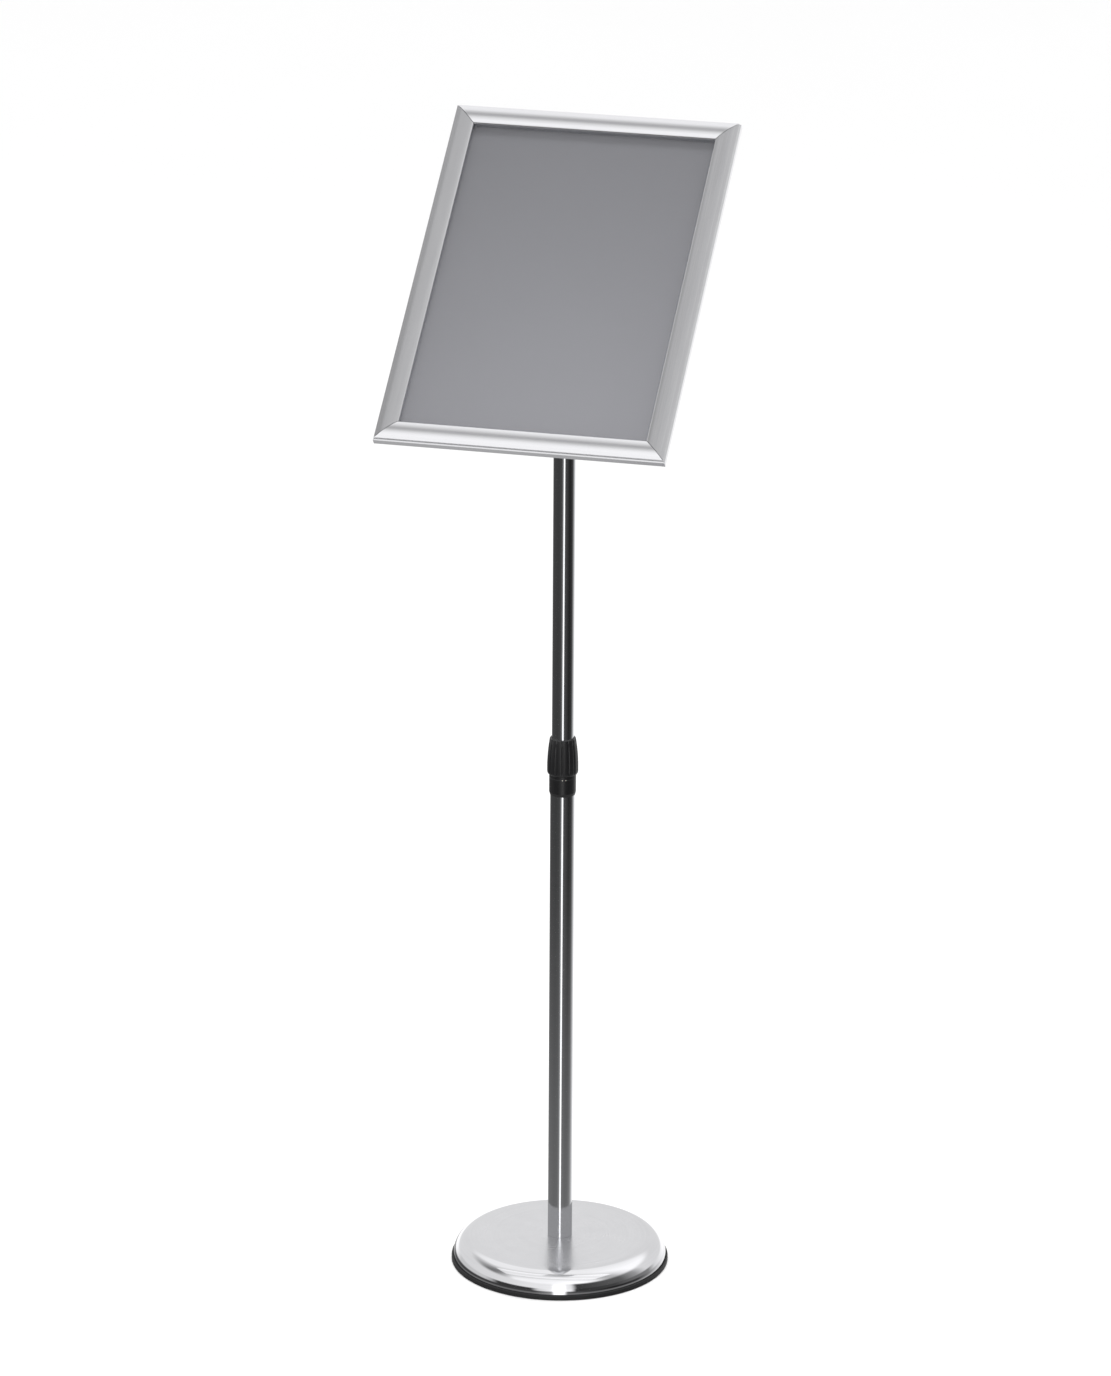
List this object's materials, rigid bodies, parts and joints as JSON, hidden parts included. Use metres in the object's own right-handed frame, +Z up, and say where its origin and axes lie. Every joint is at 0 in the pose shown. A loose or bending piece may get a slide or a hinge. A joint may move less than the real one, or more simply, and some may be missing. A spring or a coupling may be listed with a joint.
{
  "type": "sign stand",
  "caption": "Free-standing sign stand: weighted round base, telescopic pole with twist lock, and a tilting, turning snap frame that holds a sheet.",
  "frame": {"origin": "centre of the base's underside, on the floor, on the pole's axis", "axes": "+Z up along the pole; the sign faces -Y and leans back 49 degrees from upright; +X to a reader's right"},
  "size_m": [0.327, 0.3454, 1.325],
  "materials": {
    "black_rubber": "moulded black rubber",
    "polished_stainless": "spun stainless steel, mirror polished",
    "cast_iron": "cast, painted black",
    "foam_pad": "closed-cell foam sheet",
    "zinc_steel": "zinc-plated steel",
    "black_plastic": "moulded black plastic",
    "nylon": "natural nylon",
    "black_powder": "black powder coat on steel",
    "brass": "turned brass",
    "anodised_silver": "extruded aluminium, silver satin anodised",
    "key_steel": "pressed steel",
    "spring_steel": "blued spring steel",
    "panel_plastic": "black polystyrene sheet",
    "grey_sheet": "matt grey printed sheet",
    "clear_film": "clear anti-glare PET film"
  },
  "bodies": {
    "stand": {"base_edge_ring": "black_rubber", "base_cover": "polished_stainless", "base_weight": "cast_iron", "base_pad": "foam_pad", "base_bolt": "zinc_steel", "base_washer": "zinc_steel", "base_spring_washer": "zinc_steel", "tube_foot_insert": "zinc_steel", "lower_tube": "polished_stainless", "lock_body": "black_plastic"},
    "lock_nut": {"lock_nut": "black_plastic"},
    "collet": {"collet": "nylon"},
    "upper_pole": {"upper_tube": "polished_stainless", "guide_bush": "nylon", "pole_head": "black_plastic"},
    "tilt_head": {"tilt_bracket": "black_powder", "tilt_washers": "nylon", "tilt_bolt": "zinc_steel", "knob_washer": "zinc_steel", "turn_plate": "black_powder", "friction_disc": "nylon", "plate_rivets": "zinc_steel"},
    "tilt_knob": {"tilt_knob": "black_plastic", "knob_insert": "brass"},
    "frame": {"cross_bar": "anodised_silver", "bar_screws": "zinc_steel", "stop_pin": "zinc_steel", "turn_bolt": "zinc_steel", "turn_washer": "zinc_steel", "turn_nut": "zinc_steel", "back_rail_bottom": "anodised_silver", "back_rail_right": "anodised_silver", "back_rail_top": "anodised_silver", "back_rail_left": "anodised_silver", "corner_keys": "key_steel", "rail_springs": "spring_steel", "back_panel": "panel_plastic", "sign_sheet": "grey_sheet", "clear_cover": "clear_film"},
    "snap_rail_bottom": {"snap_rail_bottom": "anodised_silver"},
    "snap_rail_right": {"snap_rail_right": "anodised_silver"},
    "snap_rail_top": {"snap_rail_top": "anodised_silver"},
    "snap_rail_left": {"snap_rail_left": "anodised_silver"}
  },
  "joints": [
    {"name": "pole_swivel", "type": "hinge", "parent": "stand", "child": "collet", "pos_m": [0, 0, 0.6], "axis": [0, 0, 1], "continuous": true},
    {"name": "pole_slide", "type": "slide", "parent": "collet", "child": "upper_pole", "axis": [0, 0, 1], "range_m": [-0.43, 0.07]},
    {"name": "lock_nut_twist", "type": "hinge", "parent": "stand", "child": "lock_nut", "pos_m": [0, 0, 0.612], "axis": [0, 0, 1], "range_deg": [0, 90]},
    {"name": "sign_tilt", "type": "hinge", "parent": "upper_pole", "child": "tilt_head", "pos_m": [0, 0, 1.141], "axis": [1, 0, 0], "range_deg": [-41, 49]},
    {"name": "tilt_knob_turn", "type": "hinge", "parent": "tilt_head", "child": "tilt_knob", "pos_m": [0.025, 0, 1.141], "axis": [1, 0, 0], "range_deg": [-180, 0]},
    {"name": "sign_turn", "type": "hinge", "parent": "tilt_head", "child": "frame", "pos_m": [0, -0.02562, 1.17047], "axis": [0, -0.6561, 0.7547], "range_deg": [0, 90]},
    {"name": "snap_rail_bottom_flip", "type": "hinge", "parent": "frame", "child": "snap_rail_bottom", "pos_m": [0, -0.19915, 1.03049], "axis": [1, 0, 0], "range_deg": [0, 90]},
    {"name": "snap_rail_right_flip", "type": "hinge", "parent": "frame", "child": "snap_rail_right", "pos_m": [0.1613, -0.031, 1.17666], "axis": [0, 0.7547, 0.6561], "range_deg": [0, 90]},
    {"name": "snap_rail_top_flip", "type": "hinge", "parent": "frame", "child": "snap_rail_top", "pos_m": [0, 0.13715, 1.32283], "axis": [-1, 0, 0], "range_deg": [0, 90]},
    {"name": "snap_rail_left_flip", "type": "hinge", "parent": "frame", "child": "snap_rail_left", "pos_m": [-0.1613, -0.031, 1.17666], "axis": [0, -0.7547, -0.6561], "range_deg": [0, 90]}
  ]
}
